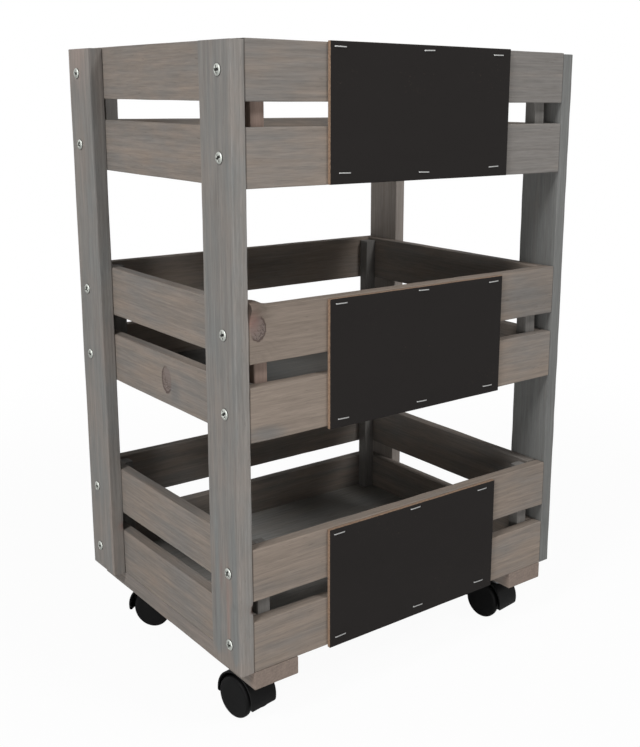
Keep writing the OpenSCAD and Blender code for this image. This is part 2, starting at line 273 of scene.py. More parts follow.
@dataclass(frozen=True)
class WoodFinish(Finish):
    """Pine under a thin grey wash, read from each board's own grain coordinates.

    The fields that end in waves hold a noise's waves to a metre, along the grain
    and across it or, where it is round, over the face and into the board. Those
    that end in show say how strongly it shows, and those in rough how it changes
    the roughness. Those that end in edge, rise or fall hold where a smooth step
    is 0 and where it is 1, for a knot in shares of its radius and for a ring in
    shares of a year. Those that end in way point to the darker side of a knot.
    Blotches and streaks count by warm_mix towards warm wood. Relief is how far
    fibres, grain, late wood, pores and a knot's rim stand out of the face.
    """

    cool: Colour
    warm: Colour
    late: Colour
    ring_pitch: float = 3.4 * MM
    ring_show: float = 0.11
    ring_rise: Span = (0.35, 0.90)
    ring_fall: Span = (1.0, 0.93)
    ring_rough: float = 0.05
    ring_wander: float = 9.0 * MM
    wander_waves: Span = (4.0, 11.0)
    fibre_waves: Span = (70.0, 1300.0)
    fibre_show: float = 0.46
    fibre_rough: float = 0.12
    grain_waves: Span = (20.0, 480.0)
    grain_show: float = 0.52
    streak_waves: Span = (6.0, 150.0)
    streak_show: float = 0.32
    blotch_waves: Span = (13.0, 34.0)
    warm_mix: Span = (0.75, 0.35)
    warm_edge: Span = (0.30, 0.80)
    pore_waves: Span = (90.0, 420.0)
    pore_edge: Span = (0.70, 0.80)
    pore_show: float = 0.35
    knot_flat: float = 0.72
    knot_waves: Span = (260.0, 120.0)
    knot_ragged: float = 0.35
    drawn_edge: Span = (3.4, 0.9)
    drawn_show: float = 0.8
    core_edge: Span = (1.05, 0.80)
    core_show: float = 0.85
    rim_rise: Span = (0.80, 0.97)
    rim_fall: Span = (1.14, 0.99)
    rim_way: Span = (0.8, -0.6)
    rim_way_edge: Span = (-0.75, 0.15)
    rim_show: float = 0.8
    whirls: float = 2.9
    whirl_ragged: float = 1.3
    whirl_rise: Span = (0.45, 0.75)
    whirl_fall: Span = (1.0, 0.85)
    whirl_way: Span = (0.6, -0.8)
    whirl_way_edge: Span = (-0.25, 0.15)
    whirl_show: float = 0.9
    knot_core: Colour = (0.196, 0.160, 0.147)
    knot_rim: Colour = (0.075, 0.052, 0.048)
    red: Colour = (0.30, 0.165, 0.140)
    red_show: float = 0.75
    bark: Colour = (0.035, 0.022, 0.018)
    bark_edge: Span = (0.25, 0.65)
    relief: Tuple[float, ...] = (0.35, 0.35, -0.25, -0.3, -0.5)
    roughness: float = 0.74
    specular: float = 0.06
    bump: Span = (0.45, 0.35 * MM)

    def inputs(self, g: Graph) -> Dict[str, Any]:
        """Works out the wood.

        Growth rings are circles round a pith outside the board, so that they show
        as long bands on the faces and as arcs on the sawn ends. A slow noise along
        the board bends them, a knot draws them round itself, and stretched noises
        stand for blotches, streaks, grain and the fibres between which the wash
        settles. A knot is a reddish oval with broken whirls, its rim dark only
        towards its lower right.

        Args:
            g: The material's nodes.

        Returns:
            The shader's inputs.
        """
        u, v, w = g.split(g.attribute("grain"))
        seed, pith_v, pith_w = g.split(g.attribute("board"))
        knot_u, knot_v, knot_r = g.split(g.attribute("knot"))
        value, warmth, redness = g.split(g.attribute("tint", "Color"))
        dark = g.attribute("tint", "Alpha")

        def layer(waves: Span, seeded: int = 0, **more: float) -> Field:
            """A noise stretched along the grain, with the seed added to one of its axes."""
            at = [u * waves[0], v * waves[1], w * waves[1]]
            at[seeded] = at[seeded] + seed
            return g.noise(g.join(*at), **more)

        # Distance from the knot's middle, 1 at its ragged rim, and the parts of the knot
        ku = (u - knot_u) / knot_r
        kv = (v - knot_v) * self.knot_flat / knot_r
        over, into = self.knot_waves
        ragged = g.noise(g.join(u * over + seed, v * over, w * into)) - 0.5
        reach = g.math("SQRT", ku * ku + kv * kv) + ragged * self.knot_ragged
        drawn = g.step(reach, *self.drawn_edge)
        core = g.step(reach, *self.core_edge)
        rim_side = ku * self.rim_way[0] + kv * self.rim_way[1] + ragged
        rim = g.band(reach, self.rim_rise, self.rim_fall) * g.step(rim_side, *self.rim_way_edge)
        whirl_side = ku * self.whirl_way[0] + kv * self.whirl_way[1]
        turn = g.math("FRACT", (reach + ragged * self.whirl_ragged) * self.whirls)
        whirl = (g.band(turn, self.whirl_rise, self.whirl_fall)
                 * g.step(whirl_side, *self.whirl_way_edge))

        # Growth rings, dark late in each year
        along, across = self.wander_waves
        bend = g.noise(g.join(u * along + seed, v * across, w * across + seed), detail=2.0) - 0.5
        side = v - pith_v + drawn * (v - knot_v) * self.drawn_show
        deep = w - pith_w
        ring_r = g.math("SQRT", side * side + deep * deep) + bend * self.ring_wander
        year = g.math("FRACT", ring_r / self.ring_pitch)
        late = g.band(year, self.ring_rise, self.ring_fall) * (1.0 - core)

        # Fibres, the wash's blotches and a few dark pores
        fibre = layer(self.fibre_waves, detail=2.0, roughness=0.6)
        grain = layer(self.grain_waves, roughness=0.6)
        streak = layer(self.streak_waves)
        blotch = layer(self.blotch_waves, seeded=1, roughness=0.6)
        pore = g.step(layer(self.pore_waves, seeded=1, detail=1.0), *self.pore_edge)

        warm_part = blotch * self.warm_mix[0] + streak * self.warm_mix[1] + (warmth - 0.5)
        colour = g.blend(g.step(warm_part, *self.warm_edge), self.cool, self.warm)
        for share, coat in (
                (late * self.ring_show, self.late),
                (pore * self.pore_show, self.late),
                (core * self.core_show,
                 g.blend(whirl * self.whirl_show, self.knot_core, self.knot_rim)),
                (rim * self.rim_show, self.knot_rim),
                (redness * (self.red_show + ragged), self.red),
                (g.step(dark + ragged * 0.5, *self.bark_edge), self.bark)):
            colour = g.blend(share, colour, coat)
        lines = ((fibre - 0.5) * self.fibre_show + (grain - 0.5) * self.grain_show
                 + (streak - 0.5) * self.streak_show)
        height = fibre * self.relief[0]
        for part, share in zip((grain, late, pore, rim), self.relief[1:]):
            height += part * share
        return {
            "Base Color": g.darken(colour, value * (1.0 + lines)),
            "Roughness": self.roughness + (fibre - 0.5) * self.fibre_rough - late * self.ring_rough,
            "Specular IOR Level": self.specular,
            "Normal": g.bump(height, *self.bump),
        }


@dataclass(frozen=True)
class ChalkboardFinish(Finish):
    """Matt black paint on the face of thin hardboard, its sawn edges left bare."""

    paint: Colour
    bare: Colour
    bare_dark: Colour
    paint_edge: Span = (0.40 * MM, 0.15 * MM)
    paint_ragged: float = 0.35 * MM
    paint_worn: float = 1.35
    crumb_waves: Span = (420.0, 700.0)
    crumb_edge: Span = (0.35, 0.65)
    haze_waves: Span = (9.0, 14.0)
    haze_show: float = 0.35
    haze_rough: float = 0.08
    wipe_waves: Span = (16.0, 60.0)
    wipe_show: float = 0.20
    grit_waves: float = 1400.0
    grit_rough: float = 0.10
    roughness: float = 0.80
    specular: float = 0.12
    bump: Span = (0.30, 0.20 * MM)

    def inputs(self, g: Graph) -> Dict[str, Any]:
        """Works out the board: the paint ends raggedly where the depth passes paint_edge.

        Args:
            g: The material's nodes.

        Returns:
            The shader's inputs.
        """
        u, v, w = g.split(g.attribute("grain"))
        seed, _, half = g.split(g.attribute("board"))
        over, into = self.crumb_waves
        crumb = g.noise(g.join(u * over + seed, v * over, w * into), detail=4.0, roughness=0.7)
        depth = half - w + (crumb - 0.5) * self.paint_ragged
        painted = g.step(depth, *self.paint_edge)
        along, across = self.haze_waves
        haze = g.noise(g.join(u * along + seed, v * across, seed), detail=4.0)
        along, across = self.wipe_waves
        wipe = g.noise(g.join(u * along, v * across + seed, seed))
        grit = g.noise(g.join(*[part * self.grit_waves for part in (u, v, w)]), detail=2.0)
        worn = tuple(c * self.paint_worn + 0.001 for c in self.paint)
        face = g.blend(haze * self.haze_show + wipe * self.wipe_show, self.paint, worn)
        wood = g.blend(g.step(crumb, *self.crumb_edge), self.bare_dark, self.bare)
        return {
            "Base Color": g.blend(painted, wood, face),
            "Roughness": self.roughness + (grit - 0.5) * self.grit_rough - haze * self.haze_rough,
            "Specular IOR Level": self.specular,
            "Normal": g.bump(grit * painted + crumb * (1.0 - painted), *self.bump),
        }


@dataclass(frozen=True)
class MetalFinish(Finish):
    """Plated or turned steel with fine marks and a dull bloom, darkened by painted shade in a screw's recess and
    round its head's foot.
    """

    colour: Colour
    bloom: Colour
    roughness: float
    bloom_share: float = 0.35
    cloud_waves: float = 240.0
    cloud_edge: Span = (0.40, 0.75)
    cloud_rough: float = 0.25
    scuff_waves: float = 1900.0
    scuff_rough: float = 0.10
    # Colour of the painted shade in the screws' recesses and round their heads' feet.
    painted_shade_colour: Colour = (0.035, 0.034, 0.033)
    bump: Span = (0.12, 0.08 * MM)

    def inputs(self, g: Graph) -> Dict[str, Any]:
        """Works out the metal from two noises on Object coordinates.

        Args:
            g: The material's nodes.

        Returns:
            The shader's inputs.
        """
        place = g.place()
        cloud = g.noise(place, scale=self.cloud_waves, detail=4.0)
        scuff = g.noise(place, scale=self.scuff_waves, detail=2.0)
        share = g.step(cloud, *self.cloud_edge) * self.bloom_share
        colour = g.blend(share, self.colour, self.bloom)
        rough = (cloud - 0.5) * self.cloud_rough, (scuff - 0.5) * self.scuff_rough
        return {
            # Painted shade: where a screw's recess and head foot are marked, the colour is mixed towards dark.
            "Base Color": g.blend(g.attribute("painted_shade", "Fac"), colour, self.painted_shade_colour),
            "Metallic": 1.0,
            "Roughness": self.roughness + rough[0] + rough[1],
            "Normal": g.bump(scuff, *self.bump),
        }


@dataclass(frozen=True)
class PlasticFinish(Finish):
    """Black moulded plastic with a fine grained skin and a little floor dust."""

    colour: Colour
    roughness: float
    dust: Colour = (0.10, 0.095, 0.085)
    dust_top: float = 26 * MM
    dust_low: float = 0.05
    dust_all: float = 0.012
    dust_rough: float = 0.3
    skin_waves: float = 2600.0
    patch_waves: float = 130.0
    patch_edge: Span = (0.45, 0.80)
    patch_rough: float = 0.16
    specular: float = 0.10
    bump: Span = (0.18, 0.10 * MM)

    def inputs(self, g: Graph) -> Dict[str, Any]:
        """Works out the plastic: its dust thins out above the floor.

        Args:
            g: The material's nodes.

        Returns:
            The shader's inputs.
        """
        place = g.place()
        _, _, z = g.split(place)
        skin = g.noise(place, scale=self.skin_waves, detail=2.0)
        patch = g.noise(place, scale=self.patch_waves, detail=4.0, roughness=0.65)
        low = g.step(z, self.dust_top, 0.0)
        dusty = g.step(patch, *self.patch_edge) * (low * self.dust_low + self.dust_all)
        return {
            "Base Color": g.blend(dusty, self.colour, self.dust),
            "Roughness": (self.roughness + (patch - 0.5) * self.patch_rough
                          + dusty * self.dust_rough),
            "Specular IOR Level": self.specular,
            "Normal": g.bump(skin, *self.bump),
        }


# Surfaces as arrays


def ripple(points: Array, seed: int, wavelength: float, waves: int = 5) -> Array:
    """A smooth random surface between about -1 and 1.

    It is the mean of a few sines, each across its own random direction at
    a length between half and twice the wavelength.

    Args:
        points: Positions, with x, y and z on the last axis.
        seed: Fixes the directions and phases.
        wavelength: The typical length of a wave, in metres.
        waves: How many sines are added.

    Returns:
        One value per point.
    """
    rng = np.random.default_rng(seed)
    way = rng.normal(size=(waves, 3))
    way /= np.linalg.norm(way, axis=1, keepdims=True)
    length = wavelength * 2.0 ** rng.uniform(-1.0, 1.0, waves)
    phase = rng.uniform(0.0, 2.0 * math.pi, waves)
    turns = points @ (way / length[:, None]).T * 2.0 * math.pi + phase
    return np.sin(turns).sum(axis=-1) / math.sqrt(waves)


def ring_quads(rings: int, points: int) -> Array:
    """Four-sided faces between neighbouring rings of points.

    Args:
        rings: How many rings there are.
        points: How many points each ring has. A ring closes on itself.

    Returns:
        An (n, 4) array of vertex numbers.
    """
    start = np.arange(rings - 1)[:, None] * points
    here = np.arange(points)
    there = (here + 1) % points
    quad = [start + here, start + there, start + points + there, start + points + here]
    return np.stack(quad, axis=-1).reshape(-1, 4)


def tube(rings: int, points: int) -> List[Array]:
    """Rings joined by quads, with one face over each end."""
    end = np.arange(points)[None]
    return [ring_quads(rings, points), end[:, ::-1], end + (rings - 1) * points]


def fan(ring: Array, pole: int) -> Array:
    """Triangles between a ring's vertex numbers and the pole's."""
    return np.stack([ring, np.roll(ring, -1), np.full(len(ring), pole)], axis=1)


def outward(verts: Array, blocks: List[Array]) -> List[Array]:
    """Turns every face round if the closed surface's volume comes out negative.

    The volume is the sum of the tetrahedra from the mean point to each face's
    triangle fan, by their triple products.

    Args:
        verts: The points.
        blocks: The faces, all wound alike.

    Returns:
        The faces, with their normals outwards.
    """
    base = verts - verts.mean(axis=0)
    volume = 0.0
    for block in blocks:
        for i in range(1, block.shape[1] - 1):
            turned = np.cross(base[block[:, i]], base[block[:, i + 1]])
            volume += np.einsum("ij,ij->", base[block[:, 0]], turned)
    return blocks if volume > 0 else [block[:, ::-1] for block in blocks]


def show(item: Piece) -> Piece:
    """Links a new object to the scene, and returns it."""
    bpy.context.scene.collection.objects.link(item)
    return item


def new_piece(name: str, shells: Sequence[Shell], finish: Finish,
              sharp: float = 40.0) -> Piece:
    """Makes a mesh object at the origin from closed surfaces.

    Args:
        name: The piece's name.
        shells: The surfaces, in the row frame, in metres.
        finish: Its finish.
        sharp: Edges that turn by more than this many degrees stay crisp.

    Returns:
        The object.
    """
    faces, start = [], 0
    for points, blocks in shells:
        for block in outward(points, blocks):
            faces += (block + start).tolist()
        start += len(points)
    mesh = bpy.data.meshes.new(name)
    mesh.from_pydata(np.concatenate([points for points, _ in shells]).tolist(), [], faces)
    mesh.update()
    mesh.shade_smooth()
    mesh.set_sharp_from_angle(angle=math.radians(sharp))
    mesh.materials.append(finish.material())
    return show(bpy.data.objects.new(name, mesh))


def softened(node: str, name: str, finish: Finish, width: float,
             sharp: float = 35.0) -> Piece:
    """A copy of a CAD node, its points merged, flat faces joined and edges bevelled.

    Args:
        node: The CAD node.
        name: The copy's name.
        finish: The copy's finish.
        width: The bevel's width.
        sharp: Edges that turn by more than this many degrees are bevelled.

    Returns:
        The copy.
    """
    mesh = frame["nodes"][node].data.copy()
    mesh.name = name
    same, flat = 0.002 * MM, math.radians(0.5)
    work = bmesh.new()
    work.from_mesh(mesh)
    bmesh.ops.remove_doubles(work, verts=work.verts, dist=same)
    bmesh.ops.dissolve_limit(work, angle_limit=flat, verts=work.verts, edges=work.edges)
    work.to_mesh(mesh)
    work.free()
    mesh.materials.clear()
    mesh.materials.append(finish.material())
    mesh.shade_smooth()
    mesh.set_sharp_from_angle(angle=math.radians(sharp))
    piece = show(bpy.data.objects.new(name, mesh))
    bevel = piece.modifiers.new("soft_edges", "BEVEL")
    bevel.width = width
    bevel.segments = 2
    bevel.limit_method = "ANGLE"
    bevel.angle_limit = math.radians(sharp)
    bevel.use_clamp_overlap = True
    return piece


def place_piece(piece: Piece, node: str) -> None:
    """Lets a piece stand for a CAD node and ride on its body, and reports it.

    Args:
        piece: The piece.
        node: The node.
    """
    bodies = frame["record"]["behaviour"]["bodies"]
    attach(piece, next(body for body, nodes in bodies.items() if node in nodes))
    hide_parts(node)
    LOG.info("%s: %d faces", piece.name, len(piece.data.polygons))


def repaint(node: str, finish: Finish) -> None:
    """Gives a CAD node that stays as it is its finish.

    Args:
        node: The CAD node.
        finish: The finish.
    """
    for entry in frame["nodes"][node].material_slots:
        entry.material = finish.material()
    LOG.info("%s: repainted", node)


ATTRIBUTES = {1: ("FLOAT", "value"), 3: ("FLOAT_VECTOR", "vector"), 4: ("FLOAT_COLOR", "color")}


def store(mesh: bpy.types.Mesh, name: str, rows: Array) -> None:
    """Stores an attribute, a row of 1, 3 or 4 numbers for each point."""
    kind, entry = ATTRIBUTES[rows.shape[1]]
    mesh.attributes.new(name, kind, "POINT").data.foreach_set(entry, rows.ravel())


def places(mesh: bpy.types.Mesh) -> Array:
    """The place of each point of a mesh.

    Args:
        mesh: The mesh.

    Returns:
        A row of x, y and z for each point.
    """
    flat = np.empty(len(mesh.vertices) * 3)
    mesh.vertices.foreach_get("co", flat)
    return flat.reshape(-1, 3)


def solids(node: str) -> List[Tuple[Array, Array]]:
    """The boxes of a node's separate solids.

    Equal points are merged, and every point then takes the lowest number in its
    triangles, over and over, until each solid has one number.

    Args:
        node: The CAD node.

    Returns:
        (lowest corner, highest corner) of each, from the left, the front and the floor.
    """
    mesh = frame["nodes"][node].data
    verts = places(mesh)
    mesh.calc_loop_triangles()
    tris = np.empty(len(mesh.loop_triangles) * 3, dtype=np.int64)
    mesh.loop_triangles.foreach_get("vertices", tris)
    rounded = np.round(verts / (0.01 * MM)).astype(np.int64)
    same = np.unique(rounded, axis=0, return_inverse=True)[1].reshape(-1)
    tris = same[tris].reshape(-1, 3)
    label, last = np.arange(same.max() + 1), None
    while not np.array_equal(label, last):
        last, low = label, label[tris].min(axis=1)
        label = last.copy()
        for corner in tris.T:
            np.minimum.at(label, corner, low)
        label = label[label]
    part = label[same]
    boxes = [(verts[part == p].min(axis=0), verts[part == p].max(axis=0)) for p in np.unique(part)]
    return sorted(boxes, key=lambda box: tuple(np.round(box[0], 4)))


# Boards


@dataclass(frozen=True)
class Mark:
    """A local change of a board's form or colour, strongest at its middle.

    It fades as a bell curve, exp(-d * d), where d is the distance in reaches.
    The middle and the reaches are in the board's u, v and w, in millimetres
    from the board's low u end and from the middle of its section.
    """

    at: Tuple[float, float, float]
    reach: Tuple[float, float, float]
    lift: float = 0.0
    value: float = 0.0
    warm: float = 0.0
    red: float = 0.0
    bark: float = 0.0


@dataclass
class Board:
    """A sawn board with rounded long edges, made on a grid of rings along its length.

    Value says how light it is and warm how brown. A knot is its place along and
    across and its radius, in millimetres. The counts across, through and arc are
    of faces over the width, over the thickness and round each edge. The ends are
    darker by seam, as far in as seam_w. The pith is within pith_side of the half
    width, and as many millimetres behind the board as pith_depth says, or on the
    face where front_first turns the depth round. A board reads the noises at its
    own place, seed times seed_step within seed_span.
    """

    name: str
    low: Array
    high: Array
    along: Along
    finish: Finish
    seed: int
    seed_step: float = 1.37
    seed_span: float = 50.0
    value: float = 1.0
    warm: float = 0.5
    knot: Tuple[float, float, float] = (-400.0, 0.0, 6.0)
    marks: Sequence[Mark] = ()
    edge_r: float = 1.0 * MM
    edge_wobble: float = 0.30
    edge_limits: Span = (0.5, 1.6)
    edge_wave: float = 60 * MM
    end_inset: float = 0.35 * MM
    waviness: float = 0.10 * MM
    face_wave: float = 90 * MM
    step: float = 6.0 * MM
    fewest: int = 6
    across: int = 10
    through: int = 5
    arc: int = 4
    seam: float = 0.0
    seam_w: float = 0.9 * MM
    pith_side: float = 0.9
    pith_depth: Span = (14, 70)
    front_first: bool = False

    def axes(self) -> List[int]:
        """The row axes of u, v and w.

        Returns:
            The axis along the grain, the wider way across, and the thickness.
        """
        u = self.along.value
        v, w = [axis for axis in range(3) if axis != u]
        size = self.high - self.low
        return [u, v, w] if size[v] > size[w] else [u, w, v]

    def section(self) -> Tuple[Array, Array]:
        """Stations round a rounded rectangle.

        A point is sign * (half size - radius) + radius * direction, where along an
        arc the direction turns, and along a side the sign runs from corner to corner.

        Returns:
            Signs and directions, one row of v and w for each station.
        """
        signs, ways = [], []
        corners = np.array([(1, 1), (-1, 1), (-1, -1), (1, -1)], dtype=float)
        for i, corner in enumerate(corners):
            turn = np.radians(90.0 * i + np.linspace(0.0, 90.0, self.arc + 1))
            signs.append(np.tile(corner, (self.arc + 1, 1)))
            ways.append(np.stack([np.cos(turn), np.sin(turn)], axis=1))
            steps = self.across if i % 2 == 0 else self.through
            share = 0.5 - 0.5 * np.cos(math.pi * np.arange(1, steps) / steps)
            signs.append(corner + share[:, None] * (corners[(i + 1) % 4] - corner))
            ways.append(np.tile(ways[-1][-1], (steps - 1, 1)))
        return np.concatenate(signs), np.concatenate(ways)

    def build(self) -> Piece:
        """Builds the board.

        Each ring is the section at one place along the grain. The first and last
        are drawn in by end_inset, which leaves a small bevel at the sawn ends, and
        every point then moves in along its direction by a slow ripple, at most
        twice the waviness, and out or in by the marks.

        Returns:
            The object, with the attributes that its finish reads.
        """
        axes = self.axes()
        size = (self.high - self.low)[axes]
        length, half = size[0], size[1:] / 2
        count = max(self.fewest, int(round(length / self.step)))
        inner = np.linspace(self.end_inset, length - self.end_inset, count)
        inner[[1, -2]] = self.seam_w, length - self.seam_w
        place = np.concatenate([[0.0], inner, [length]])
        inset = np.zeros(len(place))
        inset[[0, -1]] = self.end_inset
        sign, way = self.section()
        flat = np.stack(np.broadcast_arrays(place[:, None], *(sign * half).T), axis=-1)
        wobble = 1.0 + self.edge_wobble * ripple(flat, self.seed, self.edge_wave)
        radius = self.edge_r * np.clip(wobble, *self.edge_limits)
        slow = np.clip(1.0 + ripple(flat, self.seed + 7, self.face_wave), 0.0, 2.0)
        move = -self.waviness * slow - inset[:, None]
        tint = np.zeros(flat.shape[:2] + (4,))
        tint[..., 0] = self.value
        tint[[0, 1, -2, -1], :, 0] -= self.seam
        tint[..., 1] = self.warm
        for mark in self.marks:
            away = (flat - np.array(mark.at) * MM) / (np.array(mark.reach) * MM)
            bell = np.exp(-(away ** 2).sum(axis=-1))
            move += mark.lift * MM * bell
            tint += bell[..., None] * np.array([mark.value, mark.warm, mark.red, mark.bark])
        cross = sign * (half - radius[..., None]) + (radius + move)[..., None] * way
        local = np.concatenate([flat[..., :1], cross], axis=-1)
        verts = np.empty(local.shape)
        verts[..., axes] = local + self.origin()
        shell = verts.reshape(-1, 3), tube(*local.shape[:2])
        piece = new_piece(self.name, [shell], self.finish)
        self.dress(piece, local.reshape(-1, 3), tint.reshape(-1, 4))
        return piece

    def origin(self) -> Array:
        """Where u, v and w start: the low end, in the middle of the section."""
        share, axes = np.array([0.0, 0.5, 0.5]), self.axes()
        return self.low[axes] * (1.0 - share) + self.high[axes] * share

    def dress_solid(self, piece: Piece) -> None:
        """Stores the attributes on a piece that keeps the CAD outline.

        Args:
            piece: The softened copy of the CAD node.
        """
        local = places(piece.data)[:, self.axes()] - self.origin()
        self.dress(piece, local, np.tile([self.value, self.warm, 0.0, 0.0], (len(local), 1)))

    def dress(self, piece: Piece, local: Array, tint: Array) -> None:
        """Stores the attributes grain, board, knot and tint on the mesh.

        Args:
            piece: The board's object.
            local: The u, v and w of each vertex.
            tint: Value, warmth, redness and bark of each vertex.
        """
        rng = np.random.default_rng(self.seed)
        half = (self.high - self.low)[self.axes()][1:] / 2
        side = rng.uniform(-self.pith_side, self.pith_side) * half[0]
        pith = (side, -half[1] - rng.uniform(*self.pith_depth) * MM)
        if self.front_first:
            pith = (0.0, half[1])
            local = local * np.array([1.0, 1.0, -1.0])
        store(piece.data, "grain", local)
        board = (self.seed * self.seed_step % self.seed_span, *pith)
        for name, row in (("board", board), ("knot", np.array(self.knot) * MM)):
            store(piece.data, name, np.tile(row, (len(local), 1)))
        store(piece.data, "tint", tint)


def lay_board(node: str, along: Along, finish: Finish, seed: int, **details: Any) -> None:
    """Builds the board that stands for a CAD node, in the node's box.

    Args:
        node: The CAD node.
        along: The axis that its grain runs along.
        finish: Its finish.
        seed: Its own seed.
        details: Other fields of the board.
    """
    low, high = map(np.array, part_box(node))
    board = Board(f"{node}_board", low, high, along, finish, seed, **details)
    place_piece(board.build(), node)


def join_pieces(name: str, pieces: Sequence[Piece]) -> Piece:
    """Joins objects into the first of them.

    Args:
        name: The joined piece's name.
        pieces: The objects.

    Returns:
        The joined object.
    """
    with bpy.context.temp_override(active_object=pieces[0], object=pieces[0],
                                   selected_objects=list(pieces),
                                   selected_editable_objects=list(pieces)):
        bpy.ops.object.join()
    pieces[0].name = name
    pieces[0].data.name = name
    return pieces[0]


# Finishes of this trolley

SLAT = WoodFinish("washed_slat", "slat_wood", cool=(0.208, 0.196, 0.184),
                  warm=(0.268, 0.221, 0.184), late=(0.135, 0.113, 0.096))
POST = WoodFinish("washed_post", "post_wood", cool=(0.205, 0.208, 0.202),
                  warm=(0.244, 0.217, 0.196), late=(0.145, 0.130, 0.118), ring_show=0.16)
BATTEN = WoodFinish("washed_batten", "batten_wood", cool=(0.215, 0.195, 0.178),
                    warm=(0.270, 0.220, 0.187), late=(0.150, 0.122, 0.105))
CLEAT = WoodFinish("washed_cleat", "cleat_wood", cool=(0.214, 0.206, 0.195),
                   warm=(0.325, 0.243, 0.205), late=(0.150, 0.115, 0.095))
FLOOR = WoodFinish("washed_floor", "floor_wood", cool=(0.262, 0.264, 0.256),
                   warm=(0.290, 0.272, 0.250), late=(0.185, 0.172, 0.156), ring_pitch=6.5 * MM)
CHALKBOARD = ChalkboardFinish("black_board", "chalkboard", paint=(0.0150, 0.0131, 0.0124),
                              bare=(0.350, 0.245, 0.172), bare_dark=(0.235, 0.152, 0.105))
STAPLE = MetalFinish("staple_wire", "staple_steel", (0.55, 0.55, 0.54), (0.36, 0.36, 0.36), 0.40)
SCREW = MetalFinish("zinc_screw", "screw_steel", (0.56, 0.58, 0.54), (0.36, 0.37, 0.35), 0.42)
PLATE = MetalFinish("dark_plate", "plate_steel", (0.20, 0.20, 0.205), (0.11, 0.11, 0.11), 0.46)
PIN = MetalFinish("turned_pin", "pin_steel", (0.52, 0.52, 0.53), (0.34, 0.34, 0.34), 0.30)
HOOD = PlasticFinish("black_hood", "hood_plastic", (0.0058, 0.0058, 0.0060), 0.42)
WHEEL = PlasticFinish("black_wheel", "wheel_plastic", (0.0050, 0.0050, 0.0052), 0.50)

# What sets single boards apart: tones, knots, smears, streaks and chips, and some painted light and shade

RIGHT_END = Mark((345, 0, 0), (80, 60, 40), warm=-0.45)
RIGHT_END_SOFT = Mark((345, 0, 0), (80, 60, 40), warm=-0.25)
SLAT_DETAILS: Dict[str, Dict[str, Any]] = {
    "top_front_upper_slat": {"value": 1.01, "warm": 0.46, "marks": (RIGHT_END_SOFT,)},
    "top_front_lower_slat": {"value": 1.05, "marks": (RIGHT_END_SOFT,)},
    "middle_front_upper_slat": {
        "value": 0.91, "warm": 0.86, "knot": (8.7, 6.0, 7.6), "step": 2.5 * MM, "across": 24,
        "marks": (Mark((0, 25, 2), (8.5, 8, 14), lift=4.8, value=-0.30),
                  Mark((10, 25, 2), (7.5, 8, 14), lift=3.4, value=-0.25),
                  Mark((2, 14, -5), (7, 9, 8), red=0.9), RIGHT_END)},
    "middle_front_lower_slat": {
        "warm": 0.92, "step": 4.0 * MM,
        "marks": (Mark((18, -20, -5), (26, 9, 9), value=-0.10, warm=-0.55), RIGHT_END)},
    # Painted light: the middle crate's back slats made lighter inside the crate's shade.
    "middle_back_upper_slat": {"value": 1.10, "warm": 0.60},
    "middle_back_lower_slat": {"value": 1.10, "warm": 0.60},
    "middle_left_lower_slat": {
        "knot": (135.0, 0.5, 9.3), "step": 4.0 * MM,
        "marks": (Mark((121, -9, 0), (9, 9, 20), value=-0.17, warm=-0.4),)},
    "bottom_front_upper_slat": {"value": 0.97, "warm": 0.62},
    "bottom_front_lower_slat": {"warm": 0.62},
}
POST_DETAILS: Dict[Corner, Dict[str, Any]] = {
    Corner.FRONT_LEFT: {"step": 2.0 * MM, "across": 40, "marks": (
        # Painted light: the front face made lighter than the side faces.
        Mark((308, -25, 0), (900, 2.5, 60), value=0.12),
        Mark((58, -4.5, -7), (34, 2.2, 4), red=0.42, warm=0.8),
        Mark((88, 6.8, -7), (14, 2.2, 4), red=0.40),
        Mark((75, -8.5, -7), (10, 3.5, 4), warm=0.9, red=0.06),
        Mark((64, -15.5, -7), (3, 3.5, 4), value=-0.13),
        Mark((70, 14, -7), (60, 3.0, 4), warm=-0.7),
        Mark((60, -16, -7), (70, 4.0, 4), warm=-0.7),
        Mark((62, -24, 7), (5, 2.5, 3), lift=-0.9, bark=0.9, red=0.3),
        Mark((0, 0, -7), (10, 60, 9), warm=0.6))},
    Corner.FRONT_RIGHT: {"step": 4.0 * MM, "value": 0.84, "warm": 0.25, "marks": (
        Mark((528, -15, 5), (14, 9, 5), value=0.16),
        # Painted light: the upper front face made lighter than the side faces.
        Mark((480, -25, 0), (130, 4, 60), value=0.11))},
    Corner.BACK_LEFT: {"step": 3.0 * MM, "across": 24, "value": 1.04, "marks": (
        Mark((54, -24, 6), (4, 2.4, 4), lift=-0.6, red=0.9, bark=0.4),
        Mark((30, -24, -7), (60, 2.2, 3), warm=0.5),
        # Painted shade: the front face darkened near the top, where the front lamp lights it.
        Mark((548, -27, 0), (150, 2.0, 60), value=-1.15),
        Mark((548, 2, -7), (33, 22, 5), value=0.18, warm=0.35, red=0.16))},
    # Painted light: the back right post made lighter where it stands in the crates' shade.
    Corner.BACK_RIGHT: {"value": 1.35, "warm": 0.8},
}
BATTEN_END = Mark((0, 0, 0), (5, 60, 60), value=-0.16, warm=0.45, red=0.08)


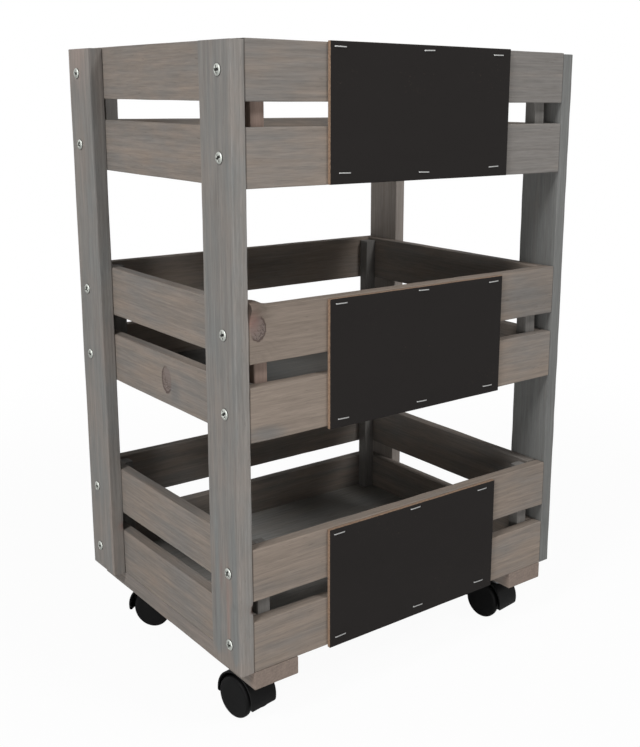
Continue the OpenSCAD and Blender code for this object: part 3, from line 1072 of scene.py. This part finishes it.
@dataclass
class Crate:
    """One open slatted crate: eight slats, a floor board and four cleats."""

    level: Level
    seed: int
    slat_seam: float = 0.45
    floor_soft: float = 0.4 * MM
    # Painted shade: the middle crate's floor board is made much darker.
    middle_floor_painted_shade: float = 0.38
    cleat_warm: float = 0.10
    near_cleat_warm: float = 0.80

    def slats(self) -> None:
        """Builds the slats, each with its own grain, tone, knot and marks."""
        for i, side in enumerate(Side):
            along = Along.X if side in (Side.FRONT, Side.BACK) else Along.Y
            for j, row in enumerate(("lower", "upper")):
                node = f"{self.level.value}_{side.value}_{row}_slat"
                lay_board(node, along, SLAT, self.seed + 10 * i + j, seam=self.slat_seam,
                          **SLAT_DETAILS.get(node, {}))

    def floor(self) -> None:
        """Builds the floor board, its grain from left to right, the middle crate's darkened as painted shade."""
        node = f"{self.level.value}_floor"
        low, high = map(np.array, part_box(node))
        piece = softened(node, f"{node}_board", FLOOR, self.floor_soft)
        # Painted shade darkens the middle crate's floor.
        value = self.middle_floor_painted_shade if self.level == Level.MIDDLE else 1.0
        Board(piece.name, low, high, Along.X, FLOOR, self.seed + 50, value=value).dress_solid(piece)
        place_piece(piece, node)

    def cleats(self) -> None:
        """Builds the corner cleats as one piece, the near left one warmer in the upper crates."""
        node = f"{self.level.value}_cleats"
        sticks = []
        for i, (low, high) in enumerate(solids(node)):
            near = high[0] < 0 and high[1] < 0 and self.level != Level.BOTTOM
            warm = self.near_cleat_warm if near else self.cleat_warm
            stick = Board(f"{node}_{i}", low, high, Along.Z, CLEAT, self.seed + 60 + i, warm=warm)
            sticks.append(stick.build())
        place_piece(join_pieces(f"{node}_sticks", sticks), node)

    def build(self) -> None:
        """Builds the whole crate."""
        self.slats()
        self.floor()
        self.cleats()


@dataclass
class Carcass:
    """The four corner posts and the two battens under the bottom crate."""

    seed: int = 300

    def build(self) -> None:
        """Builds the posts, then the battens."""
        for i, corner in enumerate(Corner):
            lay_board(f"{corner.value}_post", Along.Z, POST, self.seed + i, waviness=0.08 * MM,
                      **POST_DETAILS[corner])
        for i, side in enumerate((Side.LEFT, Side.RIGHT)):
            lay_board(f"{side.value}_batten", Along.Y, BATTEN, self.seed + 20 + i, value=1.04,
                      warm=0.40, step=5.0 * MM, marks=(BATTEN_END,))


@dataclass
class Chalkboards:
    """Three thin painted boards and the staples that hold them."""

    seed: int = 500
    wire: float = 0.7 * MM
    wire_width_share: float = 0.8
    bend_r: float = 0.9 * MM
    leg: float = 2.5
    square: float = 0.45
    lean: float = 2.2

    def boards(self) -> None:
        """Builds the boards, painted on the side that faces the front."""
        for i, level in enumerate(Level):
            lay_board(f"{level.value}_chalkboard", Along.X, CHALKBOARD, self.seed + i,
                      edge_r=0.45 * MM, end_inset=0.25 * MM, waviness=0.06 * MM,
                      step=3.0 * MM, front_first=True)

    def staple(self, low: Array, high: Array, seed: int) -> Shell:
        """One staple as a bent flat wire.

        The path runs up one leg, round a quarter circle, along the crown and back
        down the other leg. The wire's section is a rounded rectangle, where a
        point's cosine and sine are raised to the power square. Its wide side is
        along Z, and its short side turns with the path.

        Args:
            low: The lowest corner of the staple's box.
            high: The highest corner.
            seed: Fixes how the staple leans.

        Returns:
            The closed surface.
        """
        bend, half = self.bend_r, self.wire / 2
        turn = np.radians(np.linspace(0.0, 90.0, 6))
        x0, x1, y0 = low[0] + half, high[0] - half, low[1] + half
        down, over = bend - bend * np.sin(turn), bend - bend * np.cos(turn)
        left = np.stack([x0 + over, y0 + down], axis=1)
        right = np.stack([x1 - down, y0 + over], axis=1)
        knee = y0 + self.leg * bend
        path = np.concatenate([[[x0, high[1]], [x0, knee]], left, right,
                               [[x1, knee], [x1, high[1]]]])
        tangent = np.gradient(path, axis=0)
        tangent /= np.linalg.norm(tangent, axis=1, keepdims=True)
        across = np.stack([tangent[:, 1], -tangent[:, 0]], axis=1)
        angle = np.radians(np.arange(0, 360, 30) + 15)
        box = np.stack([np.cos(angle), np.sin(angle)], axis=1)
        box = np.sign(box) * np.abs(box) ** self.square
        points = np.empty((len(path), len(angle), 3))
        points[..., :2] = path[:, None, :] + box[None, :, :1] * across[:, None, :] * half
        half_width = self.wire_width_share * (high[2] - low[2]) / 2
        points[..., 2] = (low[2] + high[2]) / 2 + box[None, :, 1] * half_width
        lean = math.radians(np.random.default_rng(seed).uniform(-self.lean, self.lean))
        points[..., 2] += (points[..., 0] - (x0 + x1) / 2) * math.tan(lean)
        return points.reshape(-1, 3), tube(*points.shape[:2])

    def staples(self) -> None:
        """Builds all the staples as one piece."""
        node = "chalkboard_staples"
        shells = [self.staple(low, high, self.seed + 40 + i)
                  for i, (low, high) in enumerate(solids(node))]
        place_piece(new_piece("staples", shells, STAPLE), node)

    def build(self) -> None:
        """Builds boards and staples."""
        self.boards()
        self.staples()


@dataclass
class Screws:
    """Domed cross-recess screws, each one surface from the recess to the point."""

    head_d: float = 10.0 * MM
    head_h: float = 2.2 * MM
    shank_d: float = 4.0 * MM
    length: float = 35.0 * MM
    recess_w: float = 2.0 * MM
    recess_l: float = 6.8 * MM
    recess_h: float = 1.3 * MM
    hollow_r: float = 1.3 * MM
    wall: float = 0.5 * MM
    tip_share: float = 0.25
    under_share: float = 0.96
    slope: float = 0.25 * MM
    end_slope: float = 0.50 * MM
    seed: int = 9

    def profile(self, rings: int = 26) -> Tuple[Array, Array]:
        """Radius and height over the board of each ring, from the point to the dome's top.

        The head is a short wall and on it a dome, wall + (h - wall) * (1 - (r / R) ** 2) ** 0.5.

        Args:
            rings: Rings over the dome.

        Returns:
            Radii and heights.
        """
        big, small = self.head_d / 2, self.shank_d / 2
        dome_r = big * np.linspace(0.995, 0.0, rings)[:-1] ** 0.8
        dome_z = self.wall + (self.head_h - self.wall) * np.sqrt(1.0 - (dome_r / big) ** 2)
        foot_r = [self.tip_share * small, small, small, self.under_share * big, big, big]
        foot_z = [-self.length, -self.length + 2 * small, 0.0, 0.0, 0.1 * MM, self.wall * 0.8]
        return np.concatenate([foot_r, dome_r]), np.concatenate([foot_z, dome_z])

    def screw(self, turn: float, points: int = 64) -> Tuple[Array, List[Array], Array]:
        """One screw, its head towards +X and the head's underside at x = 0.

        The cross recess is cut in where a point is nearer to an arm's middle line than
        half of the arm's width, with a smooth wall, and a round hollow joins the arms.

        Args:
            turn: How far the cross is turned, in radians.
            points: Points round the screw.

        Returns:
            Points, faces, and each point's painted shade from 0 to 1: the recess's depth share, and 1 on the
            head's foot and below.
        """
        radius, height = self.profile()
        angle = np.linspace(0.0, 2.0 * math.pi, points, endpoint=False)
        y = radius[:, None] * np.cos(angle)
        z = radius[:, None] * np.sin(angle)
        x = np.repeat(height[:, None], points, axis=1)
        a = np.abs(y * math.cos(turn) + z * math.sin(turn))
        b = np.abs(z * math.cos(turn) - y * math.sin(turn))
        arm = np.minimum((self.recess_w / 2 - np.minimum(a, b)) / self.slope,
                         (self.recess_l / 2 - np.maximum(a, b)) / self.end_slope)
        hollow = (self.hollow_r - np.hypot(y, z)) / self.end_slope
        cut = np.clip(np.maximum(arm, hollow) + 0.5, 0.0, 1.0)
        cut = np.where(height[:, None] > self.wall, cut * cut * (3.0 - 2.0 * cut), 0.0)
        x -= cut * self.recess_h
        verts = np.stack([x, y, z], axis=-1).reshape(-1, 3)
        rim = len(verts) - points + np.arange(points)
        blocks = [ring_quads(len(radius), points), fan(rim, len(verts)),
                  np.arange(points)[None, ::-1]]
        verts = np.vstack([verts, [self.head_h - self.recess_h, 0.0, 0.0]])
        # Painted shade: dark where the recess is cut and on the foot of the head.
        painted_shade = np.maximum(cut, np.where(height < self.wall, 1.0, 0.0)[:, None])
        return verts, blocks, np.append(painted_shade.ravel(), 1.0)

    def build(self) -> None:
        """Builds the posts' screws as one piece, with painted shade, the recess's depth share and full on the
        head's foot, as an attribute.
        """
        shells, painted_shade = [], []
        rng = np.random.default_rng(self.seed)
        for low, high in solids("post_screws"):
            # The third value is each point's painted shade for the recess and the head's foot.
            points, blocks, depth = self.screw(rng.uniform(0.0, math.pi / 2))
            middle = (low + high) / 2
            side = -1.0 if middle[0] < 0 else 1.0
            seat = np.array([(low if side < 0 else high)[0] - side * self.head_h, *middle[1:]])
            shells.append((seat + points * np.array([side, 1.0, 1.0]), blocks))
            painted_shade.append(depth)
        piece = new_piece("screws_of_posts", shells, SCREW, sharp=50.0)
        store(piece.data, "painted_shade", np.concatenate(painted_shade)[:, None])
        place_piece(piece, "post_screws")


@dataclass
class Caster:
    """A hooded twin-wheel caster: its wheels are turned surfaces, its hood a softened moulding."""

    corner: Corner
    wheel_r: float = 20.5 * MM
    wheel_w: float = 10.3 * MM
    face: float = 15.5 * MM
    face_rings: Tuple[float, ...] = (4 * MM, 9 * MM, 14 * MM)
    shoulder: float = 3.2 * MM
    tread: float = 1.8 * MM
    bevel_r: float = 16.4 * MM
    disc: float = 2.8 * MM
    dish_r: float = 14.0 * MM
    hub_r: float = 5.5 * MM
    bore_r: float = 2.55 * MM
    soft: float = 0.35 * MM

    def outline(self) -> Array:
        """Half section of a wheel, from its outer face round to the bore's end.

        Each row is a radius and a depth behind the face. The shoulder is a quarter
        circle, and the other corners are cut by the softness, so that the tread,
        bevel and dish meet softly.

        Returns:
            The points.
        """
        quarter = np.radians(np.linspace(0.0, 90.0, 10))
        shoulder = np.stack([self.wheel_r - self.shoulder + self.shoulder * np.sin(quarter),
                             self.shoulder - self.shoulder * np.cos(quarter)], axis=1)
        edge, small, back = self.shoulder + self.tread, self.soft, self.wheel_w
        return np.concatenate([
            [[radius, 0.0] for radius in self.face_rings],
            shoulder,
            [[self.wheel_r, edge - small], [self.wheel_r - 0.3 * small, edge + 0.6 * small]],
            [[self.bevel_r + small, back - 1.1 * small], [self.bevel_r, back - 0.2 * small]],
            [[self.bevel_r - small, back], [self.dish_r + small, back]],
            [[self.dish_r, back - small], [self.dish_r, self.disc + 2 * small]],
            [[self.dish_r - 2 * small, self.disc], [self.hub_r + 2 * small, self.disc]],
            [[self.hub_r, self.disc + 2 * small], [self.hub_r, back - small]],
            [[self.hub_r - small, back], [self.bore_r + small, back]],
            [[self.bore_r, back - small], [self.bore_r, self.disc]],
        ])

    def wheel(self, side: Side, points: int = 128) -> None:
        """Builds one wheel by turning its outline round the axle.

        A point at radius r and depth d is
        axle + outward * (face - d) + r * (up cos a + forward sin a).

        Args:
            side: Which of the two wheels.
            points: Points round the wheel.
        """
        node = f"{self.corner.value}_caster_wheel_{side.value}"
        body = f"{self.corner.value}_wheel_{side.value}"
        joint = next(j for j in frame["joints"] if j["child"] == body)
        hub = np.array(joint["pos_m"])
        out = np.array(joint["axis"], dtype=float) * (1.0 if side == Side.RIGHT else -1.0)
        up = np.array([0.0, 0.0, 1.0])
        ahead = np.cross(up, out)
        rows = self.outline()
        angle = np.linspace(0.0, 2.0 * math.pi, points, endpoint=False)
        spoke = up * np.cos(angle)[:, None] + ahead * np.sin(angle)[:, None]
        verts = hub + out * (self.face - rows[:, None, 1:]) + rows[:, None, :1] * spoke
        verts = verts.reshape(-1, 3)
        poles = [hub + out * self.face, hub + out * (self.face - self.disc)]
        ring, count = np.arange(points), len(verts)
        blocks = [ring_quads(len(rows), points), fan(ring, count)[:, [1, 0, 2]],
                  fan(count - points + ring, count + 1)]
        shell = np.vstack([verts, poles]), blocks
        place_piece(new_piece(f"{body}_turned", [shell], WHEEL), node)

    def build(self) -> None:
        """Builds the caster."""
        node = f"{self.corner.value}_caster_housing"
        place_piece(softened(node, f"{node}_moulding", HOOD, self.soft), node)
        repaint(f"{self.corner.value}_caster_axle", PIN)
        self.wheel(Side.LEFT)
        self.wheel(Side.RIGHT)


def caster_hardware(soft: float = 0.3 * MM) -> None:
    """Finishes the plates, softened at the edges, their screws and the kingpins."""
    plates = softened("caster_plates", "plates_stamped", PLATE, soft)
    place_piece(plates, "caster_plates")
    repaint("caster_plate_screws", SCREW)
    repaint("caster_kingpins", PIN)


@dataclass(frozen=True)
class Lamp:
    """A soft lamp aimed at the trolley's middle, its place in degrees and its sizes in metres."""

    name: str
    azimuth: float
    height: float
    wide: float
    tall: float
    power: float
    distance: float = 4.0

    def build(self, target: Tuple[float, float, float] = (0.0, 0.0, 0.32)) -> None:
        """Adds the lamp.

        It stands at target + distance * (-sin a cos h, -cos a cos h, sin h), where a is
        its angle to the left of the front and h its angle above the horizon.

        Args:
            target: What it is aimed at.
        """
        data = bpy.data.lights.new(self.name, "AREA")
        data.shape = "RECTANGLE"
        data.size = self.wide
        data.size_y = self.tall
        data.energy = self.power
        lamp = show(bpy.data.objects.new(self.name, data))
        a, h = math.radians(self.azimuth), math.radians(self.height)
        way = np.array([-math.sin(a) * math.cos(h), -math.cos(a) * math.cos(h), math.sin(h)])
        lamp.location = np.array(target) + way * self.distance
        lamp.rotation_euler = Euler((math.pi / 2 - h, 0.0, -a))


@dataclass
class Studio:
    """Camera, lamps, floor and background.

    The floor is all white to the camera beyond the second distance of floor_fade, in
    metres, and white by floor_white within the first.
    """

    camera_at: Tuple[float, float, float] = (-0.63902, -0.86795, 0.57195)
    camera_turn: Tuple[float, float, float] = (77.1766, -0.5090, -38.6554)
    focal_px: float = 1044.63
    centre_px: Span = (366.36, 334.05)
    frame_px: Span = (640.0, 747.0)
    sensor_mm: float = 36.0
    lamps: Tuple[Lamp, ...] = (
        Lamp("front_light", azimuth=-20.0, height=42.0, wide=0.9, tall=0.9, power=58.5),
        Lamp("side_light", azimuth=68.0, height=42.0, wide=0.9, tall=0.9, power=71.5),
        Lamp("low_light", azimuth=58.0, height=0.0, wide=1.8, tall=0.7, power=32.0),
    )
    world_light: float = 0.22
    floor_half: float = 9.0
    floor_matt: Colour = (0.86, 0.86, 0.86)
    floor_white: float = 0.955
    floor_fade: Span = (0.45, 1.3)
    white: Tuple[float, float, float, float] = (1.0, 1.0, 1.0, 1.0)

    def camera(self) -> None:
        """Places the camera as the photograph's: the long side of the frame spans the sensor."""
        data = bpy.data.cameras.new("camera")
        wide, tall = self.frame_px
        data.sensor_width = self.sensor_mm
        data.lens = self.focal_px * self.sensor_mm / tall
        data.shift_x = -(self.centre_px[0] - wide / 2) / tall
        data.shift_y = (self.centre_px[1] - tall / 2) / tall
        data.clip_end = 50.0
        camera = show(bpy.data.objects.new("camera", data))
        camera.location = self.camera_at
        camera.rotation_euler = Euler([math.radians(a) for a in self.camera_turn])
        bpy.context.scene.camera = camera

    def floor(self) -> None:
        """Lays the floor: white to the camera far out, with the trolley's own shadow near it."""
        corners = self.floor_half * np.array([[-1, -1, 0], [1, -1, 0], [1, 1, 0], [-1, 1, 0]])
        mesh = bpy.data.meshes.new("studio_floor")
        mesh.from_pydata(corners.tolist(), [], [[0, 1, 2, 3]])
        floor = show(bpy.data.objects.new("studio_floor", mesh))
        g = Graph(bpy.data.materials.new("studio_floor"))
        x, y, _ = g.split(g.place())
        far = g.step(g.math("SQRT", x * x + y * y), *self.floor_fade)
        seen = g.node("ShaderNodeLightPath", out="Is Camera Ray")
        share = seen * (self.floor_white + (1.0 - self.floor_white) * far)
        matt = g.node("ShaderNodeBsdfDiffuse", sockets={"Color": (*self.floor_matt, 1.0)})
        white = g.node("ShaderNodeEmission", sockets={"Color": self.white, "Strength": 1.0})
        mixed = g.node("ShaderNodeMixShader", sockets={0: share, 1: matt, 2: white})
        mesh.materials.append(g.finish(mixed))

    def background(self) -> None:
        """White to the camera and in reflections, plain grey light otherwise."""
        g = Graph(bpy.data.worlds.new("studio"))
        seen = g.math("MAXIMUM", *[g.node("ShaderNodeLightPath", out=kind)
                                   for kind in ("Is Camera Ray", "Is Glossy Ray")])
        strength = self.world_light + seen * (1.0 - self.world_light)
        sky = g.node("ShaderNodeBackground", sockets={"Color": self.white, "Strength": strength})
        bpy.context.scene.world = g.finish(sky)

    def build(self) -> None:
        """Sets up the whole studio."""
        bpy.context.scene.view_settings.view_transform = "Standard"
        self.camera()
        for lamp in self.lamps:
            lamp.build()
        self.floor()
        self.background()


def main() -> None:
    """Builds every sub-assembly in order, from the crates to the studio."""
    logging.basicConfig(level=logging.INFO, format="%(name)s: %(message)s")
    for i, level in enumerate(Level):
        Crate(level, seed=100 * (i + 1)).build()
    Carcass().build()
    Chalkboards().build()
    Screws().build()
    for corner in Corner:
        Caster(corner).build()
    caster_hardware()
    Studio().build()


if __name__ == "__main__":
    main()
